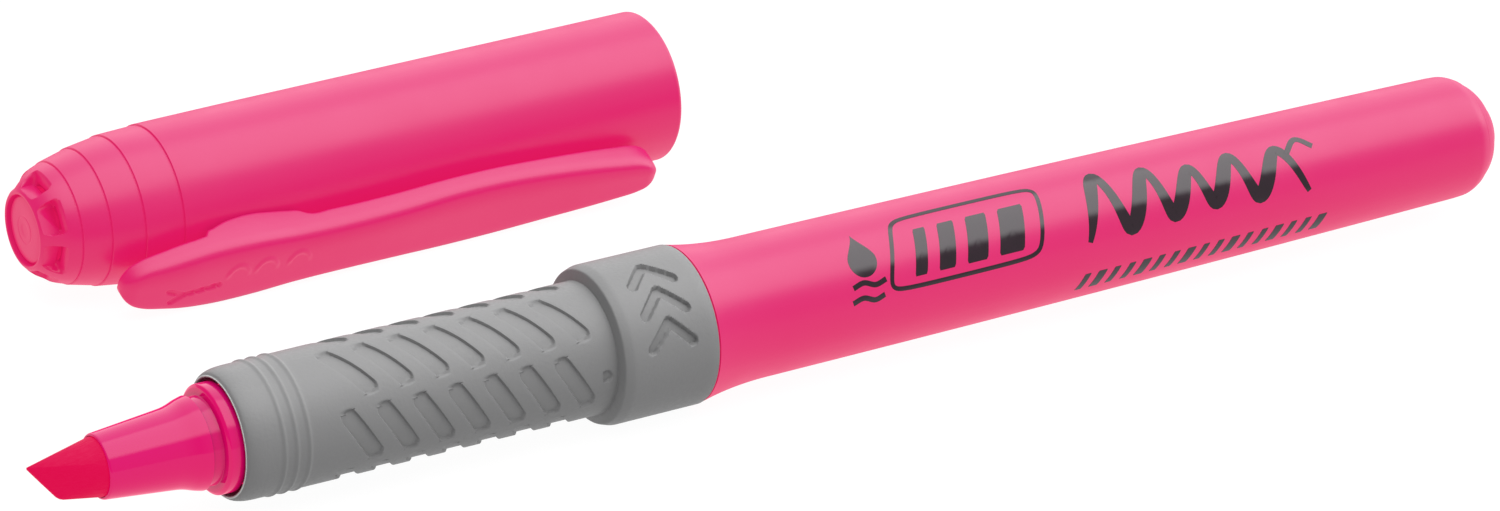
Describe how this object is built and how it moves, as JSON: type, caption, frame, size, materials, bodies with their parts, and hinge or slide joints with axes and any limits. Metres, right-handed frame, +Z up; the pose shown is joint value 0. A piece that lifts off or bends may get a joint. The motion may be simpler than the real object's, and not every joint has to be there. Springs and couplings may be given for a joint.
{
  "type": "capped grip highlighter",
  "caption": "Slim capped highlighter with a soft slotted grip, chisel nib and tapered barrel, its clip cap pulled off and lying beside it.",
  "frame": {"origin": "on the table, under the centre of the bounding box of the pen and its cap", "axes": "+X along the pen from the nib to the tail, +Y from the pen to the cap, +Z up from the table"},
  "size_m": [0.1308, 0.0502, 0.0125],
  "materials": {
    "pink_plastic": "satin moulded polypropylene",
    "clear_pink_plastic": "glossy, slightly see-through",
    "grey_rubber": "matte soft rubber",
    "nib_fibre": "porous fibre soaked in ink",
    "ink_fibre": "spun fibre soaked in ink",
    "wrap_film": "thin clear film"
  },
  "bodies": {
    "pen": {"barrel": "pink_plastic", "tail_plug": "pink_plastic", "grip_sleeve": "grey_rubber", "nib_holder": "clear_pink_plastic", "chisel_nib": "nib_fibre", "ink_reservoir": "ink_fibre", "reservoir_film": "wrap_film"},
    "cap": {"cap_shell": "pink_plastic", "cap_inner_seal": "pink_plastic"},
    "clip": {"pocket_clip": "pink_plastic"}
  },
  "joints": [
    {"name": "cap_pull", "type": "slide", "parent": "pen", "child": "cap", "axis": [-0.9998, -0.0187, 0], "range_m": [0, 0.0462]},
    {"name": "clip_flex", "type": "hinge", "parent": "cap", "child": "clip", "pos_m": [-0.03528, 0.01204, 0.00379], "axis": [-0.007, 0.3745, -0.9272], "range_deg": [0, 3], "stiffness_Nm_per_rad": 1.2}
  ]
}
